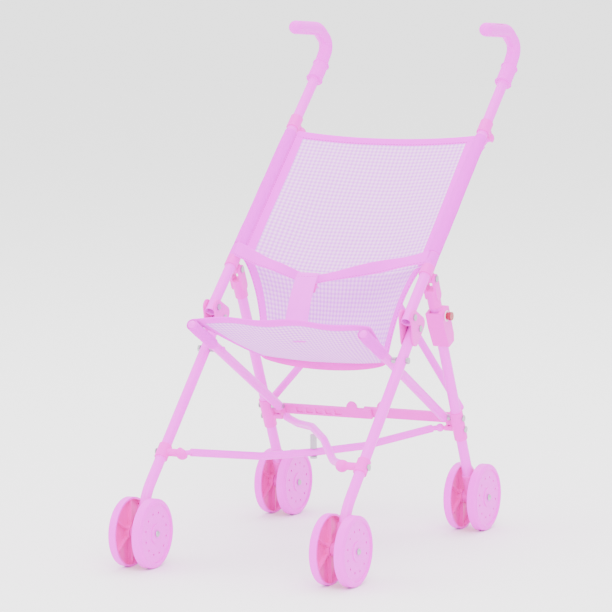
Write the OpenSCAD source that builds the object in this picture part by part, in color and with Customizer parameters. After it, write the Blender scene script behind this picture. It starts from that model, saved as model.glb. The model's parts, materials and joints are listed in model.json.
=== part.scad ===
// Doll umbrella stroller. Millimetres, +Z up, +X right as seen from the front,
// +Y towards the person who pushes. The origin is on the floor under the middle.

/* [Overall] */
// Distance between the tube planes of the two side frames
track = 234; // [200:1:270]
// Height of the knuckle pivot, where handle and front leg meet
knuckle_z = 255.2; // [240:0.2:280]
// Angle of the handle tubes above the floor
handle_angle = 42.6; // [40:0.2:46]
// Length of a handle tube above the knuckle pivot
handle_len = 360; // [330:1:400]

/* [Tubes] */
// Diameter of the handle and leg tubes
tube_d = 11.5; // [10:0.5:13]
// Wall of the steel tubes
tube_wall = 0.8; // [0.6:0.1:1.2]
// Diameter of the seat rails
rail_d = 10.5; // [9:0.5:11]
// Diameter of the crossing tubes
cross_d = 8.5; // [7:0.5:9]

/* [Legs] */
// How far up the handle the rear leg is hung
hinge_up = 64; // [60:1:72]
// How far behind the handle tube the rear leg is hung
hinge_behind = 11.5; // [11:0.5:14]
// Lean of the rear leg from upright
rear_lean = 22.8; // [18:0.2:26]
// Offset of the front leg behind the knuckle pivot
leg_offset = 19; // [17:0.5:22]
// Angle of the front leg above the floor
front_angle = 45.2; // [42:0.2:50]
// Distance down the front leg to its bend
bend_down = 234; // [215:1:245]
// Angle of the front leg's foot above the floor
foot_angle = 72.2; // [65:0.2:85]
// Radius of the front leg's bend
bend_r = 60; // [40:1:80]

/* [Seat rail] */
// Distance down the front leg to the rail bolt
rail_bolt_down = 42.7; // [38:0.1:48]
// Distance down the rear leg to the rail's rear rivet
rail_rivet_down = 174; // [160:1:185]
// Length of a seat rail in front of the front leg
rail_front = 66; // [50:1:75]
// Distance of the rail inboard of the tube plane
rail_in = 16; // [15:0.5:18]

/* [Cross tubes] */
// How far up the handle the back cross is hung
back_up = 272; // [250:1:290]
// How far behind handle and rear leg the back cross sits
back_behind = 16; // [15:0.5:19]
// Distance down the front leg to the base cross
base_down = 180; // [165:1:190]
// Distance down the rear leg to the base cross
base_rear_down = 188; // [183:1:200]
// Distance of the base cross joints inboard of the tube plane
base_in = 23; // [21:0.5:26]
// Bow of each back cross tube, which keeps the two apart
back_bow = 5; // [4.7:0.1:8]
// Rise of the upper base tube and sag of the lower one
base_bow = 13; // [9:0.5:16]

/* [Folding] */
// How far the right side moves in towards the left one
fold_travel = 165; // [120:1:170]
// Swing of the rear legs
rear_swing = 60; // [40:1:62]
// Swing of the front legs
front_swing = 176; // [120:1:178]
// How far short of the far leg a base cross tube ends when folded
base_slack = 5.5; // [5:0.5:6]

/* [Wheels] */
// Diameter of a wheel disc
wheel_d = 73.4; // [60:0.2:85]
// Width of one wheel disc
wheel_w = 9.6; // [8:0.2:12]
// Gap between the two discs of a wheel pair
wheel_gap = 19.6; // [18:0.2:24]
// Wall of the hollow discs
wheel_wall = 2.2; // [1.6:0.1:3]
// Diameter of the axles
axle_d = 4; // [3:0.5:5]
// Number of small round holes in a disc
wheel_holes = 12; // [6:1:16]

/* [Grips] */
// Thickness of a grip
grip_d = 15.5; // [14:0.5:18]
// Length of the grip's collar on the tube
collar_len = 20; // [14:1:30]

/* [Fabric] */
// Thickness of the fabric solids
cloth_t = 2; // [1.5:0.1:3]
// Height of the waist strap
strap_h = 15; // [12:1:20]
// Width of the crotch strap
crotch_w = 26; // [20:1:34]
// Width of the seat at its lowest seam
seam_w = 150; // [120:1:160]

/* [Fasteners] */
// Diameter of the rivets
rivet_d = 4; // [3:0.5:5]
// Height of a rivet head
head_h = 1.2; // [0.8:0.1:2]
// Radial clearance of a pivot
run_gap = 0.05; // [0.02:0.01:0.1]

/* [Hidden] */
$fn = 48;
SIDES = ["left", "right"];

tube_r = tube_d / 2;
rail_r = rail_d / 2;
cross_r = cross_d / 2;
wheel_r = wheel_d / 2;
rivet_r = rivet_d / 2;
axle_r = axle_d / 2;
grip_r = grip_d / 2;
half_track = track / 2;
slip = 0.25;                     // side gap between parts that turn past each other
plate_t = 1.5;                   // knuckle plates
plate_x = tube_r + slip;         // inner face of a knuckle plate
ball_r = 4.6;                    // ball ends of the cross tubes
cup_r = 7;                       // cups that hold the balls
neck_r = 2.8;                    // necks between ball and tube
neck_len = 10;                   // from the middle of a ball to its tube
tube_end = 7;                    // handle tube left below the knuckle pivot
ring_r = tube_r + 1.5;           // clip rings around the tubes
lap = 0.3;                       // straight runs reach this far into the bends

// Side-frame geometry, as [y, z] pairs before the shift to the middle of the box
function at(o, a, along, behind = 0) =
  [o[0] + along * cos(a) + behind * sin(a), o[1] + along * sin(a) - behind * cos(a)];
function turned(p, o, a) =
  [o[0] + (p[0] - o[0]) * cos(a) - (p[1] - o[1]) * sin(a),
   o[1] + (p[0] - o[0]) * sin(a) + (p[1] - o[1]) * cos(a)];
function heading(p, q) = atan2(q[1] - p[1], q[0] - p[0]);
function turn_of(a, b) = ((b - a + 540) % 360) - 180;
function unit(v) = v / norm(v);

rear_angle = 90 + rear_lean;
knuckle_0 = [0, knuckle_z];
hinge_0 = at(knuckle_0, handle_angle, hinge_up, hinge_behind);
rear_len = (hinge_0[1] - wheel_r) / sin(rear_angle);
rear_axle_0 = at(hinge_0, rear_angle, -rear_len);
leg_top_0 = at(knuckle_0, front_angle, 0, leg_offset);
bend_0 = at(leg_top_0, front_angle, -bend_down);
foot_len = (bend_0[1] - wheel_r) / sin(foot_angle);
front_axle_0 = at(bend_0, foot_angle, -foot_len);
// Grip centre line: up the tube, back over the bend and forward to the tip
grip_0 = at(knuckle_0, handle_angle, handle_len);
grip_rise = [[20.6, 25.1], [-4.4, 44.1], [-59.4, 48.1]];
grip_r1 = 12;
grip_r2 = 25;
grip_turn = turn_of(heading([0, 0], grip_rise[0]), heading(grip_rise[0], grip_rise[1]));
grip_in = heading([0, 0], grip_rise[0]);
grip_arc = [grip_0[0] + grip_rise[0][0] - grip_r1 * tan(grip_turn / 2) * cos(grip_in)
            - grip_r1 * sin(grip_in), 0];
grip_back = grip_arc[0] + grip_r1 + grip_r;
// Everything moves by this much so that the origin is under the middle of the box
shift_y = -(front_axle_0[0] - wheel_r + grip_back) / 2;
function moved(p) = [p[0] + shift_y, p[1]];
knuckle = moved(knuckle_0);
hinge = moved(hinge_0);
leg_top = moved(leg_top_0);
bend = moved(bend_0);
front_axle = moved(front_axle_0);
rear_axle = moved(rear_axle_0);
rail_bolt = at(leg_top, front_angle, -rail_bolt_down);
rail_rivet = at(hinge, rear_angle, -rail_rivet_down);
rail_angle = heading(rail_rivet, rail_bolt);
rail_len = norm(rail_bolt - rail_rivet);
rail_tip = at(rail_rivet, rail_angle, rail_len + rail_front);
back_top = at(knuckle, handle_angle, back_up, back_behind);
back_low = at(hinge, rear_angle, -rail_rivet_down, back_behind);
base_front = at(leg_top, front_angle, -base_down);
base_rear = at(hinge, rear_angle, -base_rear_down);
back_x = half_track - 1;         // side offset of the back cross ends
base_x = half_track - base_in;

// Folded places of the cross ends, which set the axes their balls turn about
function in_space(x, p) = [x, p[0], p[1]];
function folded_rear(p) = turned(p, hinge, -rear_swing);
function folded_front(p) = turned(p, knuckle, -front_swing);
function about_x(v, a) = [v[0], v[1] * cos(a) - v[2] * sin(a), v[1] * sin(a) + v[2] * cos(a)];
back_dir = in_space(-2 * back_x, back_low - back_top);
back_folded = in_space(-2 * back_x + fold_travel, folded_rear(back_low) - back_top);
base_dir = in_space(-2 * base_x, base_rear - base_front);
base_folded = about_x(in_space(-2 * base_x + fold_travel + base_slack,
                               folded_rear(base_rear) - folded_front(base_front)), front_swing);
back_len = norm(back_dir);
base_len = norm(base_dir);

// Seat cloth, as [y, z] pairs
cloth_top = at(knuckle, handle_angle, back_up - 9, 2);
cloth_low = at(knuckle, handle_angle, hinge_up + 8, 2);
lap_hinge = at(knuckle, handle_angle, hinge_up - 6, 4);
seam = at(rail_rivet, rail_angle, rail_len - 50, 14);
front_edge = at(rail_rivet, rail_angle, rail_len + rail_front - 2, rail_r + cloth_t / 2 + 0.4);
front_w = track - 2 * rail_in + 8;

// ---- helpers ----
module side(s) { mirror([s == "left" ? 1 : 0, 0, 0]) children(); }
// Local frame on a side: x outboard from the tube plane, y behind the line, z along it
module on_line(o, a, x = half_track) { translate([x, o[0], o[1]]) rotate([a - 90, 0, 0]) children(); }
// A drawing in the side view, centred on a plane at x
module side_plate(x, t) { translate([x - t / 2, 0, 0]) rotate([90, 0, 90]) linear_extrude(t) children(); }
module cross_pin(o, x0, x1, r) { translate([x0, o[0], o[1]]) rotate([0, 90, 0]) cylinder(h = x1 - x0, r = r); }
module rivet(o, x0, x1, r = rivet_r) {
  cross_pin(o, x0, x1, r);
  cross_pin(o, x0 - head_h, x0, r * 1.75);
  cross_pin(o, x1, x1 + head_h, r * 1.75);
}
module dot(p, r) { translate([p[0], p[1]]) circle(r = r); }
// Round bar along flat points, with an arc of radius rr[i] at each inner point
module bar_path(pts, rr, r) {
  n = len(pts);
  heads = [for (i = [0 : n - 2]) heading(pts[i], pts[i + 1])];
  turns = [for (i = [0 : n - 1]) i == 0 || i == n - 1 ? 0 : turn_of(heads[i - 1], heads[i])];
  cuts = [for (i = [0 : n - 1]) i == 0 || i == n - 1 ? 0 : rr[i - 1] * tan(abs(turns[i]) / 2)];
  for (i = [0 : n - 2])
    translate([pts[i][0], pts[i][1], 0]) rotate([0, 0, heads[i]])
      translate([i == 0 ? 0 : cuts[i] - lap, 0, 0]) rotate([0, 90, 0])
        cylinder(h = norm(pts[i + 1] - pts[i]) - cuts[i] - cuts[i + 1] + (i == 0 ? 0 : lap)
                     + (i == n - 2 ? 0 : lap), r = r);
  for (i = [1 : 1 : n - 2]) {
    s = sign(turns[i]);
    start = pts[i] - cuts[i] * [cos(heads[i - 1]), sin(heads[i - 1])];
    mid = start + s * rr[i - 1] * [-sin(heads[i - 1]), cos(heads[i - 1])];
    translate([mid[0], mid[1], 0])
      rotate([0, 0, s > 0 ? heads[i - 1] - 90 : heads[i] + 90])
        rotate_extrude(angle = abs(turns[i])) translate([rr[i - 1], 0]) circle(r = r - 0.02);
  }
}
module in_side_view(x = half_track) { translate([x, 0, 0]) rotate([90, 0, 90]) children(); }
// Frame with its y along u and its z near n
module frame_on(p, u, n) {
  a = cross(u, n);
  multmatrix([[a[0], u[0], n[0], p[0]], [a[1], u[1], n[1], p[1]], [a[2], u[2], n[2], p[2]]]) children();
}
module ball_neck(p, u) {
  translate(p) sphere(r = ball_r);
  point_along(p, u) cylinder(h = neck_len + 1, r = neck_r);
}
module point_along(p, u) {
  translate(p) rotate([0, acos(u[2]), atan2(u[1], u[0])]) children();
}
// Cup that opens along w, grown together with its children
module cup(p, w) {
  difference() {
    union() {
      translate(p) sphere(r = cup_r);
      children();
    }
    translate(p) sphere(r = ball_r + run_gap);
    point_along(p, w) translate([-cup_r - 1, -cup_r - 1, 1.2]) cube(2 * cup_r + 2);
  }
}

// ---- handle side ----
module handle_tube() color("violet") difference() {
  on_line(knuckle, handle_angle) translate([0, 0, -tube_end]) difference() {
    cylinder(h = tube_end + handle_len, r = tube_r);
    translate([0, 0, -1]) cylinder(h = tube_end + handle_len + 2, r = tube_r - tube_wall);
  }
  cross_pin(knuckle, half_track - tube_d, half_track + tube_d, rivet_r);
}

module grip() color("orchid") {
  base = at(knuckle, handle_angle, handle_len);
  difference() {
    on_line(knuckle, handle_angle) translate([0, 0, handle_len - collar_len])
      cylinder(h = collar_len + 4, r = grip_r + 0.9);
    on_line(knuckle, handle_angle) translate([0, 0, handle_len - collar_len - 1])
      cylinder(h = collar_len + 1, r = tube_r);
  }
  in_side_view() {
    bar_path(concat([at(base, grip_in, 2)], [for (p = grip_rise) base + p]), [grip_r1, grip_r2], grip_r);
    translate(base + grip_rise[2]) sphere(r = grip_r - 0.05);
  }
}

module hinge_clip() color("orchid") difference() {
  union() {
    on_line(knuckle, handle_angle) translate([0, 0, hinge_up - 6]) cylinder(h = 12, r = ring_r);
    side_plate(half_track, 8) hull() {
      dot(at(knuckle, handle_angle, hinge_up, tube_r), 5.5);
      dot(hinge, 5);
    }
  }
  on_line(knuckle, handle_angle) translate([0, 0, hinge_up - 20]) cylinder(h = 40, r = tube_r);
  cross_pin(hinge, half_track - 10, half_track + 10, rivet_r);
}

module back_clip() color("orchid") difference() {
  union() {
    on_line(knuckle, handle_angle) translate([0, 0, back_up - 8]) cylinder(h = 16, r = ring_r);
    cup(in_space(back_x, back_top), unit(unit(back_dir) + unit(back_folded)));
    on_line(knuckle, handle_angle) translate([-4, ring_r - 2, back_up - 4])
      cube([8, back_behind - ring_r - ball_r + 0.9, 8]);
  }
  on_line(knuckle, handle_angle) translate([0, 0, back_up - 20]) cylinder(h = 40, r = tube_r);
  translate(in_space(back_x, back_top)) sphere(r = ball_r + run_gap);
}

module handle_rivets() color("silver") {
  rivet(knuckle, half_track - plate_x - plate_t - 0.1, half_track + plate_x + plate_t + 0.1);
  rivet(hinge, half_track - 7.6, half_track + 7.6);
}

// ---- front leg side ----
module front_leg() color("violet") difference() {
  in_side_view() bar_path([at(leg_top, front_angle, 8), bend, at(bend, foot_angle, 14 - foot_len)],
                          [bend_r], tube_r);
  on_line(leg_top, front_angle) translate([0, 0, -12]) cylinder(h = 30, r = tube_r - tube_wall);
  cross_pin(leg_top, half_track - tube_d, half_track + tube_d, rivet_r);
  cross_pin(rail_bolt, half_track - tube_d, half_track + tube_d, rivet_r);
  cross_pin(base_front, half_track - tube_d, half_track + tube_d, rivet_r);
}

module knuckle_plates() color("orchid") difference() {
  union() {
    for (s = [-1, 1]) side_plate(half_track + s * (plate_x + plate_t / 2), plate_t) hull() {
      dot(knuckle, 8);
      dot(at(leg_top, front_angle, 7), 7);
      dot(at(leg_top, front_angle, -15), 7);
    }
    side_plate(half_track, 2 * plate_x) hull() {
      dot(at(leg_top, front_angle, 5, tube_r + 0.8), 0.75);
      dot(at(leg_top, front_angle, -15, tube_r + 0.8), 0.75);
    }
  }
  cross_pin(knuckle, half_track - 12, half_track + 12, rivet_r + run_gap);
  cross_pin(leg_top, half_track - 12, half_track + 12, rivet_r);
}

module front_bracket() color("orchid") difference() {
  union() {
    cup(in_space(base_x, base_front), unit(unit(base_dir) + unit(base_folded)))
      cross_pin(base_front, base_x + 1, half_track, 4.2);
    on_line(leg_top, front_angle) translate([0, 0, -base_down - 8]) cylinder(h = 16, r = ring_r);
  }
  on_line(leg_top, front_angle) translate([0, 0, -base_down - 12]) cylinder(h = 24, r = tube_r);
  cross_pin(base_front, half_track - 12, half_track + 12, rivet_r);
}

// Plastic foot on a leg's end, with the axle's boss
module axle_block(axle, a) color("orchid") difference() {
  union() {
    on_line(axle, a) translate([0, 0, 6]) cylinder(h = 22, r = ring_r);
    cross_pin(axle, half_track - 9.2, half_track + 9.2, 7);
    on_line(axle, a) cylinder(h = 10, r = ring_r);
  }
  on_line(axle, a) translate([0, 0, 14]) cylinder(h = 20, r = tube_r);
  cross_pin(axle, half_track - 12, half_track + 12, axle_r);
}

module axle(c) color("silver") {
  reach = wheel_gap / 2 + wheel_w + 0.9;
  cross_pin(c, half_track - reach, half_track + reach, axle_r);
  for (s = [-1, 1]) translate([half_track + s * reach, c[0], c[1]]) rotate([0, s * 90, 0])
    intersection() {
      translate([0, 0, -2.2]) sphere(r = 4.2);
      cylinder(h = 3, r = 3.7);
    }
}

// One hollow disc, open towards its partner: s is 1 outboard and -1 inboard
module wheel_disc(c, s) color("plum") {
  hub_r = 7.5;
  ring_hole_r = wheel_r * 0.6;
  translate([half_track, c[0], c[1]]) rotate([0, s * 90, 0]) translate([0, 0, wheel_gap / 2])
    difference() {
      union() {
        rotate_extrude($fn = 96) difference() {
          union() {
            square([wheel_r - 3, wheel_w]);
            translate([0, 0]) square([wheel_r, wheel_w - 3]);
            translate([wheel_r - 3, wheel_w - 3]) circle(r = 3);
          }
          translate([hub_r, -1]) square([wheel_r - wheel_wall - hub_r, wheel_w - wheel_wall - 1]);
          translate([hub_r + 3, wheel_w - 1]) square([wheel_r - hub_r - 9, 2]);
        }
        for (i = [0 : 5]) rotate([0, 0, i * 60]) translate([hub_r - 1, -0.7, 1])
          cube([wheel_r - wheel_wall - hub_r + 1.5, 1.4, wheel_w - wheel_wall - 2.4]);
      }
      translate([0, 0, -1]) cylinder(h = wheel_w + 2, r = axle_r + run_gap);
      for (i = [0 : wheel_holes - 1]) rotate([0, 0, (i + 0.5) * 360 / wheel_holes])
        translate([ring_hole_r, 0, wheel_w - 4]) cylinder(h = 5, r = 1.3, $fn = 16);
    }
}

module front_rivets() color("silver") {
  rivet(leg_top, half_track - plate_x - plate_t, half_track + plate_x + plate_t);
  cross_pin(rail_bolt, half_track - rail_in + rail_r + 0.1, half_track + tube_r + 1.4, rivet_r);
  cross_pin(rail_bolt, half_track + tube_r + 0.05, half_track + tube_r + 2.6, rivet_r * 1.75);
  cross_pin(rail_bolt, half_track - rail_in + rail_r + 0.1, half_track - tube_r - 0.05, rivet_r * 1.6);
  cross_pin(base_front, half_track - tube_r, half_track + ring_r, rivet_r);
  cross_pin(base_front, half_track + ring_r, half_track + ring_r + head_h, rivet_r * 1.75);
}

// ---- rear leg side ----
module rear_leg() color("violet") difference() {
  on_line(hinge, rear_angle) translate([0, 0, 14 - rear_len]) difference() {
    cylinder(h = rear_len - 14 - 15, r = tube_r);
    translate([0, 0, -1]) cylinder(h = rear_len, r = tube_r - tube_wall);
  }
  cross_pin(rail_rivet, half_track - tube_d, half_track + tube_d, rivet_r);
  cross_pin(base_rear, half_track - tube_d, half_track + tube_d, rivet_r);
}

module leg_cap() color("orchid") difference() {
  union() {
    on_line(hinge, rear_angle) translate([0, 0, -34]) cylinder(h = 21.5, r = ring_r);
    for (s = [-1, 1]) side_plate(half_track + s * 5.85, 3.2) hull() {
      dot(hinge, 5.2);
      dot(at(hinge, rear_angle, -20), 5.5);
    }
  }
  on_line(hinge, rear_angle) translate([0, 0, -35]) cylinder(h = 20.2, r = tube_r);
  cross_pin(hinge, half_track - 10, half_track + 10, rivet_r + run_gap);
}

// Clip on the rear leg with the brace lug and the post that meets the base cross
module rear_bracket() color("orchid") {
  lug = at(hinge, rear_angle, -rail_rivet_down - 12, 13);
  difference() {
    union() {
      on_line(hinge, rear_angle) translate([0, 0, -rail_rivet_down - 26]) cylinder(h = 34, r = ring_r);
      cross_pin(base_rear, base_x + ball_r + 1.2, half_track, 3);
      on_line(hinge, rear_angle) translate([-15.5, 1, -rail_rivet_down - 18]) cube([15.5, 11.7, 12]);
    }
    on_line(hinge, rear_angle) translate([0, 0, -rail_rivet_down - 40]) cylinder(h = 60, r = tube_r);
    cross_pin(rail_rivet, half_track - 12, half_track + 12, rivet_r);
    cross_pin(base_rear, half_track - 6.5, half_track + 12, rivet_r);
    on_line(hinge, rear_angle) translate([-12, 0, -rail_rivet_down - 12]) rotate([-90, 0, 0])
      cylinder(h = 30, r = rivet_r * 0.75);
  }
}

module rear_rivets() color("silver") {
  // rail rivet: through the leg, the clip and the seat rail
  cross_pin(rail_rivet, half_track - rail_in - rail_r - 0.1, half_track + ring_r, rivet_r);
  cross_pin(rail_rivet, half_track - rail_in - rail_r - 0.1 - head_h * 0.4,
            half_track - rail_in - rail_r - 0.1, rivet_r * 1.4);
  cross_pin(rail_rivet, half_track - rail_in + rail_r + 0.1, half_track - ring_r, rivet_r * 1.6);
  cross_pin(rail_rivet, half_track + ring_r, half_track + ring_r + head_h, rivet_r * 1.75);
  cross_pin(base_rear, half_track - 6.4, half_track + ring_r, rivet_r);
  cross_pin(base_rear, half_track + ring_r, half_track + ring_r + head_h, rivet_r * 1.75);
  // brace pivot
  on_line(hinge, rear_angle) translate([-12, 0, -rail_rivet_down - 12]) rotate([-90, 0, 0]) {
    translate([0, 0, 7]) cylinder(h = brace_behind("right") + 3.4 - 7, r = rivet_r * 0.75);
    translate([0, 0, brace_behind("right") + 3.4]) cylinder(h = head_h, r = rivet_r * 1.3);
  }
}

// ---- seat rail ----
module seat_rail() color("violet") difference() {
  union() {
    on_line(rail_rivet, rail_angle, half_track - rail_in) {
      cylinder(h = rail_len + rail_front, r = rail_r);
      sphere(r = rail_r - 0.05);
      translate([0, 0, rail_len + rail_front]) sphere(r = rail_r - 0.05);
    }
    cross_pin(rail_bolt, half_track - rail_in - rail_r - 1.2, half_track - rail_in - rail_r + 0.3, 3.5);
  }
  cross_pin(rail_rivet, half_track - rail_in - 12, half_track, rivet_r + run_gap);
}

// ---- cross tubes ----
module back_cross(bow) color("violet") {
  u = unit(back_dir);
  n = unit([0, -back_dir[2], back_dir[1]]);
  ends = in_space(back_x, back_top);
  ball_neck(ends, u);
  frame_on(ends, u, n) rotate([90, 0, 90]) {
    bar_path([[neck_len, 0], [back_len / 2 - 34, bow], [back_len / 2 + 34, bow], [back_len - 4, 0]],
             [60, 60], cross_r);
    translate([back_len - 4, 0, 0]) sphere(r = cross_r - 0.05);
  }
  // rivet head on the outer face at the crossing
  frame_on(ends, u, n) translate([0, back_len / 2, bow > 0 ? bow + cross_r - 0.4 : bow - cross_r - 0.8])
    cylinder(h = 1.2, r = 3.4);
}

// Height offsets of the base tubes along their length, upper and lower
upper_line = [[0.15, -0.25], [0.31, 0.85], [0.52, 1.05], [0.78, 0.3]];
lower_line = [[0.3, -0.9], [0.5, -1], [0.7, -0.9]];
module base_cross(line) color("violet") {
  u = unit(base_dir);
  ends = in_space(base_x, base_front);
  ball_neck(ends, u);
  frame_on(ends, u, unit([0, -u[2], u[1]])) rotate([90, 0, 90]) {
    bar_path(concat([[neck_len, 0]], [for (p = line) [p[0] * base_len, p[1] * base_bow]],
                    [[base_len - neck_len, 0]]), [for (p = line) 40], cross_r);
    translate([base_len - neck_len - 1, 0, 0]) rotate([0, 90, 0]) cylinder(h = neck_len, r = neck_r);
    translate([base_len, 0, 0]) sphere(r = ball_r);
  }
}

// Bolt and spacer at the middle of the base cross, fast on the lower tube
module base_cross_rivet() color("silver") {
  mid = in_space(0, (base_front + base_rear) / 2);
  translate(mid) {
    translate([0, 0, cross_r - base_bow]) cylinder(h = 2 * (base_bow - cross_r) - 2.6, r = 3.6);
    translate([0, 0, -base_bow - cross_r - 2.4]) cylinder(h = 2.4, r = 3.8);
  }
}

function brace_behind(s) = s == "left" ? 13.2 : 17;
// Half of the folding rear brace, a ribbed bar with an ear near the middle
module brace_half(s) color("orchid") {
  reach = half_track - 12;
  off = brace_behind(s);
  on_line(hinge, rear_angle) translate([-12, off, -rail_rivet_down - 12]) difference() {
    union() {
      translate([-reach - 5, 0, -6]) cube([reach + 5, 3.2, 12]);
      translate([0, 3.2, 0]) rotate([90, 0, 0]) cylinder(h = 3.2, r = 6);
      translate([-reach + 18, 3.2, 8]) rotate([90, 0, 0]) cylinder(h = 3.2, r = 6);
      translate([-reach + 12, 0, 0]) cube([12, 3.2, 8]);
    }
    translate([0, 6, 0]) rotate([90, 0, 0]) cylinder(h = 10, r = rivet_r * 0.75 + run_gap);
    for (i = [0 : 4]) translate([-reach + 32 + i * 12, s == "left" ? -1 : 1.8, -3.5]) cube([8, 2.4, 7]);
  }
}

// ---- latch on the right rear leg ----
latch_top = -38;
latch_h = 42;
button_y = 1;
module latch_housing() color("orchid") on_line(hinge, rear_angle) difference() {
  translate([-8.4, 0, 0]) rotate([90, 0, 90]) linear_extrude(19.4)
    polygon([[-10, latch_top], [9.5, latch_top], [9.5, latch_top - latch_h + 8],
             [6.5, latch_top - latch_h], [-6.5, latch_top - latch_h], [-10, latch_top - 18]]);
  translate([0, 0, latch_top - latch_h - 1]) cylinder(h = latch_h + 2, r = tube_r);
  translate([-5.5, -8.6, latch_top - 8]) cube([11, 5, 9]);
  translate([6.6, button_y, latch_top - 8]) rotate([0, 90, 0]) cylinder(h = 6, r = 3.6);
}
module latch_button() color("darkred") on_line(hinge, rear_angle)
  translate([8.6, button_y, latch_top - 8]) rotate([0, 90, 0]) difference() {
    union() {
      cylinder(h = 8.4, r = 3.5);
      translate([0, 0, 5.4]) cylinder(h = 3, r = 4.6);
    }
    translate([0, 0, -1]) cylinder(h = 2.8, r = 2.8);
  }
module latch_spring() color("silver") on_line(hinge, rear_angle)
  translate([6.7, button_y, latch_top - 8]) rotate([0, 90, 0]) difference() {
    cylinder(h = 1.8, r = 2.6);
    translate([0, 0, -1]) cylinder(h = 4, r = 1.8);
  }

// ---- fabric ----
module cloth_plate(p, q, wp, wq) {
  a = heading(p, q);
  translate([0, p[0], p[1]]) rotate([a - 90, 0, 0]) rotate([90, 0, 0])
    translate([0, 0, -cloth_t / 2]) linear_extrude(cloth_t)
      polygon([[-wp / 2, 0], [wp / 2, 0], [wq / 2, norm(q - p)], [-wq / 2, norm(q - p)]]);
}
module backrest() color("lavenderblush") {
  inner = track - 2 * (tube_r + 0.9);
  cloth_plate(cloth_low, cloth_top, inner, inner);
  for (s = SIDES) side(s) on_line(knuckle, handle_angle)
    translate([0, 0, hinge_up + 8]) difference() {
      cylinder(h = back_up - 9 - hinge_up - 8, r = tube_r + 1.1);
      translate([0, 0, -1]) cylinder(h = back_up, r = tube_r + 0.3);
    }
}
module lower_backrest() color("lavenderblush")
  cloth_plate(at(lap_hinge, heading(lap_hinge, seam), 1), at(seam, heading(lap_hinge, seam), -2),
              track - 42, seam_w);
module seat() color("lavenderblush")
  cloth_plate(at(seam, heading(seam, front_edge), 2), front_edge, seam_w, front_w);

waist_mid = [at(knuckle, handle_angle, hinge_up - 30, -14)[0], lap_hinge[1] + 2.5];
waist_end = at(knuckle, handle_angle, hinge_up + 12, -9);
waist_x = half_track - ring_r - 0.45;
module waist_strap() color("orchid") {
  run = [[waist_x, waist_end[0]], [waist_x * 0.5, waist_mid[0] + 14], [0, waist_mid[0]],
         [-waist_x * 0.5, waist_mid[0] + 14], [-waist_x, waist_end[0]]];
  translate([0, 0, waist_mid[1]]) linear_extrude(strap_h)
    polygon(concat(run, [for (i = [len(run) - 1 : -1 : 0]) run[i] + [0, 1.6]]));
}
module crotch_strap() color("orchid") {
  foot = at(seam, heading(seam, front_edge), 62, cloth_t + 2);
  top = [waist_mid[0] - 1.6, waist_mid[1] + strap_h];
  cloth_plate(foot, top, crotch_w, crotch_w);
}

side("left") handle_tube();  // left_handle_tube
side("left") grip();  // left_grip
side("left") hinge_clip();  // left_hinge_clip
side("left") back_clip();  // left_back_clip
side("left") handle_rivets();  // left_handle_rivets
side("right") handle_tube();  // right_handle_tube
side("right") grip();  // right_grip
side("right") hinge_clip();  // right_hinge_clip
side("right") back_clip();  // right_back_clip
side("right") handle_rivets();  // right_handle_rivets
side("left") front_leg();  // left_front_leg
side("left") knuckle_plates();  // left_knuckle
side("left") front_bracket();  // left_front_bracket
side("left") axle_block(front_axle, foot_angle);  // left_front_axle_block
side("left") axle(front_axle);  // left_front_axle
side("left") front_rivets();  // left_front_rivets
side("right") front_leg();  // right_front_leg
side("right") knuckle_plates();  // right_knuckle
side("right") front_bracket();  // right_front_bracket
side("right") axle_block(front_axle, foot_angle);  // right_front_axle_block
side("right") axle(front_axle);  // right_front_axle
side("right") front_rivets();  // right_front_rivets
side("left") rear_leg();  // left_rear_leg
side("left") leg_cap();  // left_leg_cap
side("left") rear_bracket();  // left_rear_bracket
side("left") axle_block(rear_axle, rear_angle);  // left_rear_axle_block
side("left") axle(rear_axle);  // left_rear_axle
side("left") rear_rivets();  // left_rear_rivets
side("right") rear_leg();  // right_rear_leg
side("right") leg_cap();  // right_leg_cap
side("right") rear_bracket();  // right_rear_bracket
side("right") axle_block(rear_axle, rear_angle);  // right_rear_axle_block
side("right") axle(rear_axle);  // right_rear_axle
side("right") rear_rivets();  // right_rear_rivets
side("left") seat_rail();  // left_seat_rail
side("right") seat_rail();  // right_seat_rail
side("left") back_cross(-back_bow);  // left_back_cross
side("right") back_cross(back_bow);  // right_back_cross
side("left") base_cross(lower_line);  // left_base_cross
side("right") base_cross(upper_line);  // right_base_cross
base_cross_rivet();
side("left") brace_half("left");  // left_brace_half
side("right") brace_half("right");  // right_brace_half
latch_housing();
latch_button();
latch_spring();
side("left") wheel_disc(front_axle, 1);  // left_front_outer_wheel
side("left") wheel_disc(front_axle, -1);  // left_front_inner_wheel
side("right") wheel_disc(front_axle, 1);  // right_front_outer_wheel
side("right") wheel_disc(front_axle, -1);  // right_front_inner_wheel
side("left") wheel_disc(rear_axle, 1);  // left_rear_outer_wheel
side("left") wheel_disc(rear_axle, -1);  // left_rear_inner_wheel
side("right") wheel_disc(rear_axle, 1);  // right_rear_outer_wheel
side("right") wheel_disc(rear_axle, -1);  // right_rear_inner_wheel
backrest();
lower_backrest();
seat();
waist_strap();
crotch_strap();
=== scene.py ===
# %% [markdown]
# # A folding doll stroller, cell by cell
#
# The frame of this stroller is already a CAD model. This lesson loads it, gives every tube, clip and
# wheel a finish, and makes what CAD leaves out: the sewn sling, its bindings, the straps and the
# small mouldings. All lengths are in metres, and +Y points towards the person who pushes.

# %% load the frame
import json
import math
import bpy
from mathutils import Matrix, Vector, noise


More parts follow.
